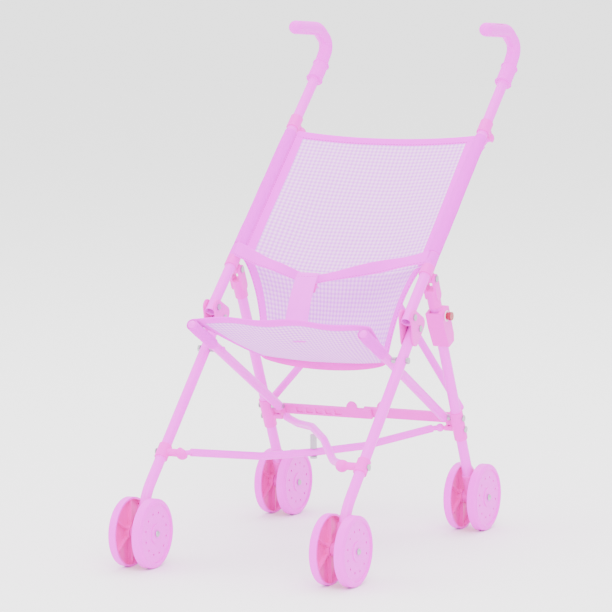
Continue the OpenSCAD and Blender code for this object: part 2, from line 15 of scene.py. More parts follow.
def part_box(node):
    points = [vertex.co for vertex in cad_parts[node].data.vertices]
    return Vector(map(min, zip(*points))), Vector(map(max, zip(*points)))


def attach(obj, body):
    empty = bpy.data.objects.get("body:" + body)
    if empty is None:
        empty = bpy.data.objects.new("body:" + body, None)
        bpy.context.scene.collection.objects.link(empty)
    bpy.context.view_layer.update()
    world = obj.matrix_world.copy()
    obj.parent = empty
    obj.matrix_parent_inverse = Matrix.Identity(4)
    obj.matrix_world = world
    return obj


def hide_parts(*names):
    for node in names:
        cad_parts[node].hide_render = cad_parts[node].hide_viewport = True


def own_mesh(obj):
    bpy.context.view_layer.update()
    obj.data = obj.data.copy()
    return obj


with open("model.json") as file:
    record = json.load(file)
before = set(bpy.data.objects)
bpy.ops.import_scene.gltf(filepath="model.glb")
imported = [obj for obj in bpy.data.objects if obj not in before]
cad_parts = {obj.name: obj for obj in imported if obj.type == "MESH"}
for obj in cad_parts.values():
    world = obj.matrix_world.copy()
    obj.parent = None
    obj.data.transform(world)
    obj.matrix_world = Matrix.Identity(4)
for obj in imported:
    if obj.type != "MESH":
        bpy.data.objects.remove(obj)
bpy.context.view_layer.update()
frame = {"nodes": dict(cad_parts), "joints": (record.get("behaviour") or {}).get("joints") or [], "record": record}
JOINT = {j["name"]: j for j in frame["joints"]}

# %% [markdown]
# The frame's pivots and boxes give the places below. The two handles are straight tubes, so a point on
# one is best named by how far up the tube it is and how far behind it. One function turns those two
# numbers into a point, and the cloth, the straps and the collars of the grips all use it.

# %% places on the frame
KNUCKLE = Vector(JOINT["right_front_leg_swing"]["pos_m"])
TUBE_X = KNUCKLE.x                   # the tube planes are at plus and minus this
TUBE_R = (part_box("right_rear_leg")[1].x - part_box("right_rear_leg")[0].x) / 2
HANDLE_TILT = math.radians(42.6)


def on_handle(up, behind=0.0):
    """A point in the side view, from its distance up the handle and behind it."""
    c, s = math.cos(HANDLE_TILT), math.sin(HANDLE_TILT)
    return KNUCKLE.y + up * c + behind * s, KNUCKLE.z + up * s - behind * c


# %% [markdown]
# A small product is shown best with a long lens from a few metres away, a little above it and from
# its front corner. The camera is built from the direction it looks along, and then rolled a touch.

# %% camera
LOOK = Vector((-0.45109, 0.88318, -0.12846)).normalized()
CAMERA_PLACE = (1.63085, -3.24319, 0.72674)
LENS = 199.85                        # millimetres, on a 36 mm sensor
ROLL = math.radians(-0.70)
sideways = LOOK.cross(Vector((0, 0, 1))).normalized()
upright = sideways.cross(LOOK)
right_hand = sideways * math.cos(ROLL) + upright * math.sin(ROLL)
above = right_hand.cross(LOOK)
camera_data = bpy.data.cameras.new("camera")
camera_data.sensor_width = 36
camera_data.lens = LENS
camera_data.clip_end = 60
camera = bpy.data.objects.new("camera", camera_data)
bpy.context.collection.objects.link(camera)
turn = Matrix((right_hand, above, -LOOK)).transposed().to_4x4()
camera.matrix_world = Matrix.Translation(CAMERA_PLACE) @ turn
bpy.context.scene.camera = camera
print("camera at", [round(c, 3) for c in camera.location])

# %% [markdown]
# The stage is a white floor in a white world, so its far edge doesn't show. Three large area lamps
# stand for the soft boxes of a studio, and the world fills the shadows.

# %% floor, lamps and world
def srgb(r, g, b):
    """A colour given as 0 to 255 in the usual screen values, made linear for a shader."""
    return tuple((c / 255 / 12.92 if c / 255 <= 0.04045 else ((c / 255 + 0.055) / 1.055) ** 2.4)
                 for c in (r, g, b)) + (1.0,)


def only(obj):
    """Selects one object and nothing else, so that the next operator acts on it alone."""
    bpy.ops.object.select_all(action="DESELECT")
    obj.select_set(True)
    bpy.context.view_layer.objects.active = obj
    return obj


bpy.ops.object.select_all(action="DESELECT")
bpy.ops.mesh.primitive_plane_add(size=14, location=(0, 0, 0))
floor = bpy.context.object
floor.name = "floor"
only(floor)
bpy.ops.object.transform_apply(location=True, rotation=True, scale=True)
paper = bpy.data.materials.new("paper")
paper.use_nodes = True
paper_shader = paper.node_tree.nodes["Principled BSDF"]
paper_shader.inputs["Base Color"].default_value = (1, 1, 1, 1)
paper_shader.inputs["Roughness"].default_value = 0.6
floor.data.materials.append(paper)


def lamp(name, place, aim, size, watts):
    """A round area lamp at one place, aimed at another."""
    data = bpy.data.lights.new(name, "AREA")
    data.shape = "DISK"
    data.size = size
    data.energy = watts
    obj = bpy.data.objects.new(name, data)
    bpy.context.collection.objects.link(obj)
    obj.location = place
    obj.rotation_euler = (Vector(aim) - Vector(place)).to_track_quat("-Z", "Y").to_euler()
    return obj


lamp("key", (1.6, -2.4, 2.6), (0, 0, 0.25), 2.4, 110)
lamp("fill", (-2.6, -1.6, 1.8), (0, 0, 0.25), 2.6, 55)
lamp("top", (0, 0.8, 3.0), (0, 0, 0.2), 3.0, 90)
world = bpy.context.scene.world or bpy.data.worlds.new("world")
bpy.context.scene.world = world
world.use_nodes = True
world.node_tree.nodes["Background"].inputs["Color"].default_value = (1, 1, 1, 1)
world.node_tree.nodes["Background"].inputs["Strength"].default_value = 2.5

# %% [markdown]
# ## Finishes
#
# A finish is a small node tree. The same few steps come again each time: a base colour with a slow
# drift, a fine grain that lifts the surface, and a roughness. One helper lays down those steps, and
# each finish then sets its own gloss on the shader's sockets. Patterns read Object coordinates, which
# stay with the piece when the frame folds.

# %% a helper for finishes
def finish_of(name, colour, drift, rough, grain_scale, grain_depth, coat=0.0, metal=0.0):
    """A material whose colour drifts between two shades and whose grain is a fine bump."""
    mat = bpy.data.materials.new(name)
    mat.use_nodes = True
    nodes, links = mat.node_tree.nodes, mat.node_tree.links
    shader = nodes["Principled BSDF"]
    shader.inputs["Metallic"].default_value = metal
    shader.inputs["Coat Weight"].default_value = coat
    shader.inputs["Coat Roughness"].default_value = 0.15
    shader.inputs["Specular IOR Level"].default_value = 0.5 if metal else 0.28
    where = nodes.new("ShaderNodeTexCoord")
    slow = nodes.new("ShaderNodeTexNoise")
    slow.inputs["Scale"].default_value = 18
    links.new(where.outputs["Object"], slow.inputs["Vector"])
    mix = nodes.new("ShaderNodeMix")
    mix.data_type = "RGBA"
    mix.inputs["A"].default_value = colour
    mix.inputs["B"].default_value = drift
    links.new(slow.outputs["Fac"], mix.inputs["Factor"])
    links.new(mix.outputs["Result"], shader.inputs["Base Color"])
    grain = nodes.new("ShaderNodeTexNoise")
    grain.inputs["Scale"].default_value = grain_scale
    grain.inputs["Detail"].default_value = 4
    links.new(where.outputs["Object"], grain.inputs["Vector"])
    bump = nodes.new("ShaderNodeBump")
    bump.inputs["Distance"].default_value = grain_depth
    bump.inputs["Strength"].default_value = 0.6
    links.new(grain.outputs["Fac"], bump.inputs["Height"])
    links.new(bump.outputs["Normal"], shader.inputs["Normal"])
    spread = nodes.new("ShaderNodeMapRange")
    spread.inputs["To Min"].default_value = rough - 0.05
    spread.inputs["To Max"].default_value = rough + 0.07
    links.new(grain.outputs["Fac"], spread.inputs["Value"])
    links.new(spread.outputs["Result"], shader.inputs["Roughness"])
    mat["colour_mix"] = mix.name
    return mat


print("finish_of is ready")

# %% [markdown]
# The tubes are steel with pink powder paint: a soft gloss over a very fine orange-peel. The clips
# are moulded in a pink a shade stronger, and the grips in a smooth, slightly rubbery plastic.

# %% paint and plastics
pink_paint = finish_of("pink_paint", srgb(252, 30, 242), srgb(254, 40, 244), 0.38, 420, 0.00006, 0.12)
clip_plastic = finish_of("clip_plastic", srgb(248, 6, 214), srgb(244, 14, 218), 0.40, 260, 0.00008, 0.08)
grip_plastic = finish_of("grip_plastic", srgb(250, 2, 240), srgb(252, 8, 242), 0.44, 520, 0.00008, 0.04)
ridge_plastic = finish_of("ridge_plastic", srgb(206, 0, 176), srgb(212, 0, 182), 0.45, 520, 0.00006)
button_plastic = finish_of("button_plastic", srgb(170, 12, 62), srgb(158, 8, 54), 0.25, 300, 0.00004, 0.5)
ring_plastic = finish_of("ring_plastic", srgb(246, 205, 232), srgb(240, 196, 226), 0.35, 300, 0.00004)
print("paint and plastics are ready")

# %% [markdown]
# Rivets are plated steel: a grey metal with a fine grain, so its gloss is broken up.

# %% rivet steel
steel = finish_of("steel", srgb(190, 180, 192), srgb(165, 158, 170), 0.32, 900, 0.00005, 0.0, 0.9)
print("steel is ready")

# %% [markdown]
# A wheel disc is one moulding, pale on its outer face. Its hollow is painted deep pink as painted shade:
# the shadow and the light that bounces between the pink walls. The hollow is found by distance: nearer
# to the axle than the rim, and deeper than the outer wall. Each disc has its own centre, so each gets its own copy
# of the finish.

# %% wheel plastic, with painted shade in the hollow
wheel_low, wheel_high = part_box("right_rear_outer_wheel")
WHEEL_R = (wheel_high.z - wheel_low.z) / 2
RIM_WALL = 0.0020                    # the painted shade starts this far in from the rim
FACE_INSIDE = 0.0028                 # and this far outboard of the disc's middle plane


def wheel_finish_with_painted_shade(node):
    """The plastic of one disc, pale outside, with deep pink painted shade in its hollow."""
    low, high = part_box(node)
    centre = (low + high) / 2
    leg_x = TUBE_X if centre.x > 0 else -TUBE_X
    outward = 1 if centre.x > leg_x else -1
    mat = finish_of("wheel_" + node, srgb(250, 8, 238), srgb(252, 16, 240), 0.38, 300, 0.00006, 0.08)
    nodes, links = mat.node_tree.nodes, mat.node_tree.links
    where = nodes.new("ShaderNodeTexCoord")
    shift = nodes.new("ShaderNodeMapping")
    shift.vector_type = "POINT"
    shift.inputs["Location"].default_value = -centre
    links.new(where.outputs["Object"], shift.inputs["Vector"])
    parts = nodes.new("ShaderNodeSeparateXYZ")
    links.new(shift.outputs["Vector"], parts.inputs["Vector"])
    flat = nodes.new("ShaderNodeCombineXYZ")
    links.new(parts.outputs["Y"], flat.inputs["Y"])
    links.new(parts.outputs["Z"], flat.inputs["Z"])
    radius = nodes.new("ShaderNodeVectorMath")
    radius.operation = "LENGTH"
    links.new(flat.outputs["Vector"], radius.inputs[0])
    inside = nodes.new("ShaderNodeMapRange")
    inside.inputs["From Min"].default_value = WHEEL_R - RIM_WALL + 0.0004
    inside.inputs["From Max"].default_value = WHEEL_R - RIM_WALL - 0.0004
    links.new(radius.outputs["Value"], inside.inputs["Value"])
    deep = nodes.new("ShaderNodeMapRange")
    deep.inputs["From Min"].default_value = outward * (FACE_INSIDE + 0.0006)
    deep.inputs["From Max"].default_value = outward * (FACE_INSIDE - 0.0006)
    links.new(parts.outputs["X"], deep.inputs["Value"])
    both = nodes.new("ShaderNodeMath")
    both.operation = "MULTIPLY"
    links.new(inside.outputs["Result"], both.inputs[0])
    links.new(deep.outputs["Result"], both.inputs[1])
    # the deep pink painted shade of the hollow, mixed in where both masks meet
    mix = nodes.new("ShaderNodeMix")
    mix.data_type = "RGBA"
    mix.inputs["B"].default_value = srgb(250, 0, 206)
    links.new(both.outputs["Value"], mix.inputs["Factor"])
    links.new(nodes[mat["colour_mix"]].outputs["Result"], mix.inputs["A"])
    links.new(mix.outputs["Result"], nodes["Principled BSDF"].inputs["Base Color"])
    return mat


print("wheel radius", round(WHEEL_R, 4))

# %% [markdown]
# The sling is a light cotton-like cloth with a small woven check. Check is two sets of stripes that
# cross. One set is mixed in and the other multiplies it, so the darkest squares are where both lie. It
# reads the cloth's own UV map, which holds metres, so the check keeps its true size and follows every
# sag. The threads are two fine waves used as a bump, over a slow noise for the crumple.

# %% gingham
CHECK = 0.0049


def stripe(nodes, links, value, period, width):
    """1 on the stripes of a coordinate and 0 between them."""
    wrap = nodes.new("ShaderNodeMath")
    wrap.operation = "WRAP"
    wrap.inputs[1].default_value = period
    wrap.inputs[2].default_value = 0
    links.new(value, wrap.inputs[0])
    edge = nodes.new("ShaderNodeMapRange")
    edge.interpolation_type = "SMOOTHSTEP"
    edge.inputs["From Min"].default_value = width * period * 0.94
    edge.inputs["From Max"].default_value = width * period * 1.06
    edge.inputs["To Min"].default_value = 1
    edge.inputs["To Max"].default_value = 0
    links.new(wrap.outputs["Value"], edge.inputs["Value"])
    return edge.outputs["Result"]


def weave_bump(links, nodes, parts, pitch, depth):
    """Threads over and under, as two waves along the cloth's own directions."""
    total = nodes.new("ShaderNodeMath")
    total.operation = "ADD"
    for i, axis in enumerate(("X", "Y")):
        turn_ = nodes.new("ShaderNodeMath")
        turn_.operation = "MULTIPLY"
        turn_.inputs[1].default_value = 2 * math.pi / pitch
        links.new(parts.outputs[axis], turn_.inputs[0])
        wave = nodes.new("ShaderNodeMath")
        wave.operation = "SINE"
        links.new(turn_.outputs["Value"], wave.inputs[0])
        links.new(wave.outputs["Value"], total.inputs[i])
    crumple = nodes.new("ShaderNodeTexNoise")
    crumple.inputs["Scale"].default_value = 38
    where = nodes.new("ShaderNodeTexCoord")
    links.new(where.outputs["Object"], crumple.inputs["Vector"])
    first = nodes.new("ShaderNodeBump")
    first.inputs["Distance"].default_value = 0.003
    first.inputs["Strength"].default_value = 0.35
    links.new(crumple.outputs["Fac"], first.inputs["Height"])
    bump = nodes.new("ShaderNodeBump")
    bump.inputs["Distance"].default_value = depth
    bump.inputs["Strength"].default_value = 0.5
    links.new(total.outputs["Value"], bump.inputs["Height"])
    links.new(first.outputs["Normal"], bump.inputs["Normal"])
    links.new(bump.outputs["Normal"], nodes["Principled BSDF"].inputs["Normal"])


def cloth_base(name, rough=0.85):
    """A matte cloth, with its UV map split into a distance across and one along."""
    mat = bpy.data.materials.new(name)
    mat.use_nodes = True
    nodes, links = mat.node_tree.nodes, mat.node_tree.links
    shader = nodes["Principled BSDF"]
    shader.inputs["Roughness"].default_value = rough
    shader.inputs["Sheen Weight"].default_value = 0.03
    shader.inputs["Specular IOR Level"].default_value = 0.12
    shader.inputs["Sheen Roughness"].default_value = 0.4
    uv = nodes.new("ShaderNodeUVMap")
    parts = nodes.new("ShaderNodeSeparateXYZ")
    links.new(uv.outputs["UV"], parts.inputs["Vector"])
    return mat, nodes, links, parts


def make_gingham():
    """The checked cloth of the sling."""
    mat, nodes, links, parts = cloth_base("gingham")
    across = stripe(nodes, links, parts.outputs["X"], CHECK, 0.5)
    along = stripe(nodes, links, parts.outputs["Y"], CHECK, 0.5)
    pale = nodes.new("ShaderNodeMix")
    pale.data_type = "RGBA"
    pale.inputs["A"].default_value = srgb(250, 200, 255)
    pale.inputs["B"].default_value = srgb(236, 150, 252)
    links.new(across, pale.inputs["Factor"])
    dark = nodes.new("ShaderNodeMix")
    dark.data_type = "RGBA"
    dark.blend_type = "MULTIPLY"
    dark.inputs["B"].default_value = srgb(244, 200, 253)
    links.new(along, dark.inputs["Factor"])
    links.new(pale.outputs["Result"], dark.inputs["A"])
    links.new(dark.outputs["Result"], nodes["Principled BSDF"].inputs["Base Color"])
    weave_bump(links, nodes, parts, 0.0007, 0.00006)
    return mat


gingham = make_gingham()
print("check of", CHECK * 1000, "mm")

# %% [markdown]
# Bindings and straps are plain pink tape. A row of stitches runs near each long edge: short dashes
# along the tape, kept to a thin line by a second stripe across it. The UV map again holds metres,
# with zero at the tape's first edge, so one finish serves every width.

# %% bindings and webbing
def make_tape(name, colour, stitch, stitch_at, rib=0.0011):
    """Plain tape with one row of stitches, stitch_at from its first edge."""
    mat, nodes, links, parts = cloth_base(name, 0.8)
    dash = stripe(nodes, links, parts.outputs["X"], 0.0034, 0.62)
    line = nodes.new("ShaderNodeMath")
    line.operation = "COMPARE"
    line.inputs[1].default_value = stitch_at
    line.inputs[2].default_value = 0.00032
    links.new(parts.outputs["Y"], line.inputs[0])
    both = nodes.new("ShaderNodeMath")
    both.operation = "MULTIPLY"
    links.new(dash, both.inputs[0])
    links.new(line.outputs["Value"], both.inputs[1])
    mix = nodes.new("ShaderNodeMix")
    mix.data_type = "RGBA"
    mix.inputs["A"].default_value = colour
    mix.inputs["B"].default_value = stitch
    links.new(both.outputs["Value"], mix.inputs["Factor"])
    links.new(mix.outputs["Result"], nodes["Principled BSDF"].inputs["Base Color"])
    weave_bump(links, nodes, parts, rib, 0.00008)
    return mat


binding = make_tape("binding", srgb(252, 14, 246), srgb(206, 0, 190), 0.0015)
# stronger pink tape; on the seam strip its deeper pink is partly painted shade
strong_binding = make_tape("strong_binding", srgb(246, 0, 214), srgb(200, 0, 170), 0.0015)
webbing = make_tape("webbing", srgb(250, 36, 244), srgb(214, 10, 200), 0.0018, 0.0014)
pale_tape = make_tape("pale_tape", srgb(252, 70, 248), srgb(224, 30, 214), 0.0018, 0.0014)
print("tapes are ready")

# %% [markdown]
# ## The CAD pieces get their finishes
#
# A CAD node already has its true shape, so it only needs the finish that its material slot names.

# %% dress the CAD nodes
SLOT_FINISH = {"pink_paint": pink_paint, "clip_plastic": clip_plastic, "grip_plastic": grip_plastic,
               "button_plastic": button_plastic, "steel": steel, "gingham_cloth": gingham,
               "webbing": webbing}
slot_of = {s["node"]: s["material_slot"] for s in frame["record"]["subparts"]}
for name, obj in frame["nodes"].items():
    obj.data.materials.clear()
    wheel = name.endswith("_wheel")
    obj.data.materials.append(wheel_finish_with_painted_shade(name) if wheel else SLOT_FINISH[slot_of[name]])
print("dressed", len(frame["nodes"]), "nodes")

# %% [markdown]
# ## The sling
#
# The sling is one length of cloth: a back that hangs between the handles, a short lower back that
# turns in, and a seat that climbs to the front edge. Each stretch follows a different part of the
# frame when it folds, so it is made in three sheets that meet edge to edge. A sheet starts as a grid,
# and each of its points is set by a function of how far across and how far along it lies. Such a
# function is easy to read and gives a clean sag, where a simulation of a taut sling adds little.

# %% a sheet from a function
def sheet_piece(name, place, across, along, size, thick, mat, start=(-1.0, 0.0), end=(1.0, 1.0)):
    """A grid whose points are set by place(u, v). Its UV map holds metres: u across, v along."""
    bpy.ops.object.select_all(action="DESELECT")
    bpy.ops.mesh.primitive_grid_add(x_subdivisions=across, y_subdivisions=along, size=2)
    obj = bpy.context.object
    obj.name = obj.data.name = name
    for v in obj.data.vertices:
        s, t = (v.co.x + 1) / 2, (v.co.y + 1) / 2
        v.co = place(start[0] + (end[0] - start[0]) * s, start[1] + (end[1] - start[1]) * t)
    for loop in obj.data.uv_layers.active.data:
        loop.uv = (loop.uv.x * size[0], loop.uv.y * size[1])
    obj.data.materials.append(mat)
    area = sum(p.area for p in obj.data.polygons)
    only(obj)
    wall = obj.modifiers.new("wall", "SOLIDIFY")
    wall.thickness = thick
    wall.offset = 0
    bpy.ops.object.modifier_apply(modifier="wall")
    soft = obj.modifiers.new("soft", "SUBSURF")
    soft.levels = soft.render_levels = 1
    bpy.ops.object.modifier_apply(modifier="soft")
    bpy.ops.object.mode_set(mode="EDIT")
    bpy.ops.mesh.select_all(action="SELECT")
    bpy.ops.mesh.normals_make_consistent(inside=False)
    bpy.ops.object.mode_set(mode="OBJECT")
    bpy.ops.object.shade_smooth_by_angle(angle=math.radians(50))
    return obj, area


def mixed(a, b, t):
    return a + (b - a) * t


def cloth(obj, body, flat, area, held, rests_on, *nodes):
    if nodes:
        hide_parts(*nodes)
    width, length = flat
    while width * length < area:
        width, length = width * 1.01, length * 1.01
    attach(obj, body)
    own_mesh(obj)


# %% [markdown]
# The back is pulled tight at its top, where a binding runs from clip to clip, and sags more towards
# the bottom, where the doll's weight sits. A little noise, which fades at the sides, creases it.

# %% places on the sling
BACK_TOP, BACK_LOW = 0.262, 0.074    # distances up the handle
CLOTH_X = TUBE_X - TUBE_R - 0.0004
SEAM_Y, SEAM_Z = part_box("lower_backrest")[0].y + 0.001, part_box("seat")[0].z + 0.0015
SEAM_X = 0.0755                      # half the width at the low seam
FRONT_Y, FRONT_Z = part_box("seat")[0].y + 0.0012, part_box("seat")[1].z + 0.0005
FRONT_X = 0.1068                     # half the width at the front edge


def creases(u, v, seed, size):
    """A slow noise over the cloth, which fades out at its two side edges."""
    return noise.noise(Vector((u * 2.3 + seed, v * 2.1 - seed, seed))) * size * (1 - u ** 4)


def back_place(u, v):
    up = mixed(BACK_LOW, BACK_TOP, v)
    sag = 0.002 + (0.004 + 0.017 * max(0.0, 1 - v) ** 0.8) * (1 - abs(u) ** 2.4)
    sag += creases(u, v, 3.1, 0.0030) * (1 - v ** 6)
    dip = 0.0045 * (1 - u * u) * v ** 8
    y, z = on_handle(up - dip, sag)
    return Vector((u * CLOTH_X, y, z))


def seam_place(u):
    return Vector((u * SEAM_X, SEAM_Y + 0.004 * (1 - u * u), SEAM_Z - 0.004 * (1 - u * u)))


def lower_place(u, v):
    top = back_place(u, 0)
    low = seam_place(u)
    pinch = 1 - 0.05 * math.sin(math.pi * v) * abs(u) ** 3
    p = top.lerp(low, v)
    p.x = mixed(top.x, low.x, v ** 0.72) * pinch
    bow = 0.007 * math.sin(math.pi * v) * (1 - u * u)
    return p + Vector((0, bow + creases(u, v, 7.7, 0.003) * math.sin(math.pi * v), 0))


def front_place(u):
    wave = 0.0013 * math.sin(2.6 * math.pi * u + 0.4) + 0.0028 * (1 - u * u)
    return Vector((u * FRONT_X, FRONT_Y, FRONT_Z + wave))


def seat_place(u, v):
    back, front = seam_place(u), front_place(u)
    p = back.lerp(front, v)
    p.x = mixed(back.x, front.x, v ** 0.75)
    sag = 0.007 * math.sin(math.pi * v ** 0.9) * (1 - abs(u) ** 3)
    return p - Vector((0, 0, sag - creases(u, v, 12.4, 0.0028) * math.sin(math.pi * v)))


print("seam at", [round(c, 4) for c in seam_place(0)], "front at", [round(c, 4) for c in front_place(0)])

# %% the three sheets
CLOTH_T = 0.0007
back_sheet, back_area = sheet_piece("back_cloth", back_place, 44, 44, (2 * CLOTH_X, BACK_TOP - BACK_LOW),
                                    CLOTH_T, gingham)
cloth(back_sheet, "left_handle", (2 * CLOTH_X, BACK_TOP - BACK_LOW + 0.004), back_area, "stretched",
      ["left_handle_tube", "right_handle_tube"], "backrest")
LOWER_LEN = (lower_place(0, 0) - lower_place(0, 1)).length
lower_sheet, lower_area = sheet_piece("lower_back_cloth", lower_place, 36, 24, (2 * CLOTH_X, -LOWER_LEN),
                                      CLOTH_T, gingham)
cloth(lower_sheet, "lower_backrest", (2 * CLOTH_X, LOWER_LEN + 0.01), lower_area, "stretched",
      ["back_cloth"], "lower_backrest")
SEAT_LEN = (seat_place(0, 0) - seat_place(0, 1)).length
seat_sheet, seat_area = sheet_piece("seat_cloth", seat_place, 40, 28, (2 * FRONT_X, SEAT_LEN), CLOTH_T,
                                    gingham)
cloth(seat_sheet, "seat", (2 * FRONT_X, SEAT_LEN + 0.01), seat_area, "stretched",
      ["left_seat_rail", "right_seat_rail"], "seat")
print("areas", round(back_area, 4), round(lower_area, 4), round(seat_area, 4))

# %% [markdown]
# Bindings are strips of tape folded over a raw edge. Each is a strip of the same surface as its
# cloth, a little thicker, so it wraps the edge and follows its waves. The tape's UV map runs along
# it, so a strip that lies across the sheet has its two directions swapped.

# %% bindings
def strip(name, place, body, start, end, count, length, width, thick, mat, swap=False):
    """A strip of tape on a surface, between two corners of its u and v."""
    cells = (count, 3) if not swap else (3, count)
    obj, area = sheet_piece(name, place, cells[0], cells[1], (1, 1), thick, mat, start, end)
    for loop in obj.data.uv_layers.active.data:
        a, b = (loop.uv.y, loop.uv.x) if swap else (loop.uv.x, loop.uv.y)
        loop.uv = (a * length, b * width)
    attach(obj, body)
    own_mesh(obj)
    return obj


HEM = 0.0105                         # width of the hems
BACK_LEN = BACK_TOP - BACK_LOW
strip("top_binding", back_place, "left_handle", (-1, 1 - HEM / BACK_LEN), (1, 1.004), 40,
      2 * CLOTH_X, HEM, 0.0022, binding)
strip("front_binding", seat_place, "seat", (-1, 1 - HEM / SEAT_LEN), (1, 1.01), 40,
      2 * FRONT_X, HEM, 0.0026, binding)
for s, side in ((-1, "left"), (1, "right")):
    strip(side + "_lower_hem", lower_place, "lower_backrest", (s, 0), (s * 0.89, 1), 24,
          LOWER_LEN, HEM, 0.0022, binding, swap=True)
    strip(side + "_seat_hem", seat_place, "seat", (s, 0), (s * 0.9, 1), 24,
          SEAT_LEN, HEM, 0.0024, binding, swap=True)
    strip(side + "_back_flap", back_place, "left_handle", (s, 0.0), (s * 0.9, 1), 30,
          BACK_LEN, 0.011, 0.0020, binding, swap=True)
print("bindings are on")

# %% [markdown]
# Under the low seam a strip of stronger pink closes the sling. Its stronger pink is partly the cloth's own
# plain pink and partly painted shade under the seat. It is deepest in the middle and runs
# out at both ends, like a slice of lens.

# %% strip under the seam
def under_place(u, v):
    p = seam_place(u)
    deep = 0.0012 + 0.0085 * max(0.0, 1 - u * u) ** 0.5
    return p + Vector((0, -0.002 * math.sin(math.pi * v), 0.0015 - deep * v))


# stronger pink tape, here partly painted shade under the seat
under_strip, under_area = sheet_piece("seam_strip", under_place, 40, 5, (2 * SEAM_X, 0.0098), 0.0026,
                                      strong_binding)
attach(under_strip, "lower_backrest")
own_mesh(under_strip)
print("seam strip", round(under_area, 5))

# %% [markdown]
# The back is sewn round each handle tube as a sleeve. A sleeve is a tube of cloth: a cylinder with
# many rings, loosened here and there by a few tenths of a millimetre, then given a wall.

# %% sleeves on the handle tubes
def aimed(direction):
    """The turn that takes the z axis to a direction."""
    return Vector((0, 0, 1)).rotation_difference(Vector(direction).normalized()).to_matrix().to_4x4()


def sleeve(name, body, centre, direction, length, radius, mat, rings=26, loose=0.0005):
    """A loose tube of cloth round a tube of the frame."""
    bpy.ops.object.select_all(action="DESELECT")
    bpy.ops.mesh.primitive_cylinder_add(vertices=28, radius=radius, depth=length, end_fill_type="NOTHING")
    obj = bpy.context.object
    obj.name = obj.data.name = name
    only(obj)
    bpy.ops.object.mode_set(mode="EDIT")
    for i in range(1, rings):
        bpy.ops.mesh.select_all(action="SELECT")
        bpy.ops.mesh.bisect(plane_co=(0, 0, length * (i / rings - 0.5)), plane_no=(0, 0, 1))
    bpy.ops.object.mode_set(mode="OBJECT")
    for v in obj.data.vertices:
        n = noise.noise(Vector((v.co.x * 90, v.co.y * 90, v.co.z * 60 + radius * 1000)))
        grow = 1 + n * loose / radius
        v.co.x, v.co.y = v.co.x * grow, v.co.y * grow
    wall = obj.modifiers.new("wall", "SOLIDIFY")
    wall.thickness = 0.0009
    wall.offset = 1
    bpy.ops.object.modifier_apply(modifier="wall")
    obj.data.transform(Matrix.Translation(centre) @ aimed(direction))
    obj.data.materials.append(mat)
    bpy.ops.object.shade_smooth_by_angle(angle=math.radians(50))
    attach(obj, body)
    return obj


SLEEVE_LOW, SLEEVE_HIGH = 0.088, 0.258    # distances up the handle
handle_dir = Vector((0, math.cos(HANDLE_TILT), math.sin(HANDLE_TILT)))
for s, side in ((-1, "left"), (1, "right")):
    y, z = on_handle((SLEEVE_LOW + SLEEVE_HIGH) / 2)
    sleeve(side + "_sleeve", side + "_handle", (s * TUBE_X, y, z), handle_dir,
           SLEEVE_HIGH - SLEEVE_LOW, TUBE_R + 0.0002, binding)
print("two sleeves")

# %% [markdown]
# At the front the sling ends in two pockets that slip over the tips of the seat rails, so the rail
# turns a plain sheet into a seat. They are short sleeves again, and they ride with the rails.

# %% pockets on the seat rails
RAIL_R = 0.00525                     # radius of the seat rails
POCKET_LEN = 0.052
for s, side in ((-1, "left"), (1, "right")):
    low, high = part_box(side + "_seat_rail")
    rear = Vector(JOINT[side + "_seat_rail_swing"]["pos_m"])
    tip = Vector((rear.x, low.y + RAIL_R, high.z - RAIL_R))
    along = (tip - rear).normalized()
    sleeve(side + "_pocket", side + "_seat_rail", tip - along * 0.024, along, POCKET_LEN, RAIL_R + 0.0002,
           binding, rings=10)
print("two pockets")

# %% [markdown]
# ## Straps
#
# The waist strap is one band of tape sewn to both handles. It narrows as it is gathered towards the
# crotch strap, and it hangs in a shallow V because the crotch strap pulls it down and forward.

# %% waist strap
WAIST = Vector((-0.003, -0.037, 0.2885))    # where the crotch strap's loop holds it
end_y, end_z = on_handle(0.078, -0.0075)


def waist_place(u, v):
    a = abs(u)
    wide = 0.0105 + 0.0075 * a ** 1.2
    y = mixed(WAIST.y, end_y, a ** 1.12)
    z = mixed(WAIST.z, end_z, a ** 1.06) + creases(u, 0, 5.5, 0.002)
    x = mixed(WAIST.x, (TUBE_X - 0.001) * (1 if u > 0 else -1), a)
    lean = (v - 0.5) * wide
    tilt = 0.35 + 0.35 * a + 0.25 * math.sin(3 * math.pi * u)
    return Vector((x, y + lean * math.sin(tilt), z + lean * math.cos(tilt)))


waist, waist_area = sheet_piece("waist_tape", waist_place, 60, 5, (0.262, 0.015), 0.0013, webbing)
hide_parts("waist_strap")
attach(waist, "harness")
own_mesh(waist)
for s, side in ((-1, "left"), (1, "right")):
    y, z = on_handle(0.076)
    sleeve(side + "_strap_end", side + "_handle", (s * TUBE_X, y, z), handle_dir, 0.019,
           TUBE_R + 0.0004, webbing, rings=4, loose=0.0004)
print("waist strap", round(waist_area, 5))

# %% [markdown]
# The crotch strap is a wide pale band. Its top is folded over the waist strap as a loop, and the
# folded end shows as a small deep pink tab below it.

# %% crotch strap and its loop
SEAT_FOOT = seat_place(0, 0.60) + Vector((-0.003, 0, 0.0012))


def crotch_place(u, v):
    p = WAIST.lerp(SEAT_FOOT, v) + Vector((0, -0.0040 - 0.004 * math.sin(math.pi * v), 0.006 * (1 - v)))
    return p + Vector((u * (0.0125 + 0.002 * v), 0.0012 * math.sin(3 * u + 4 * v), 0))


crotch, crotch_area = sheet_piece("crotch_tape", crotch_place, 10, 20, (0.027, 0.075), 0.0014, pale_tape)
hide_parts("crotch_strap")
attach(crotch, "harness")


def loop_place(u, v):
    turn_ = mixed(-0.15, 1.15, v) * math.pi
    return WAIST + Vector((u * 0.0125, -0.0036 * math.sin(turn_) * 1.1 - 0.0006, 0.0075 * math.cos(turn_)))


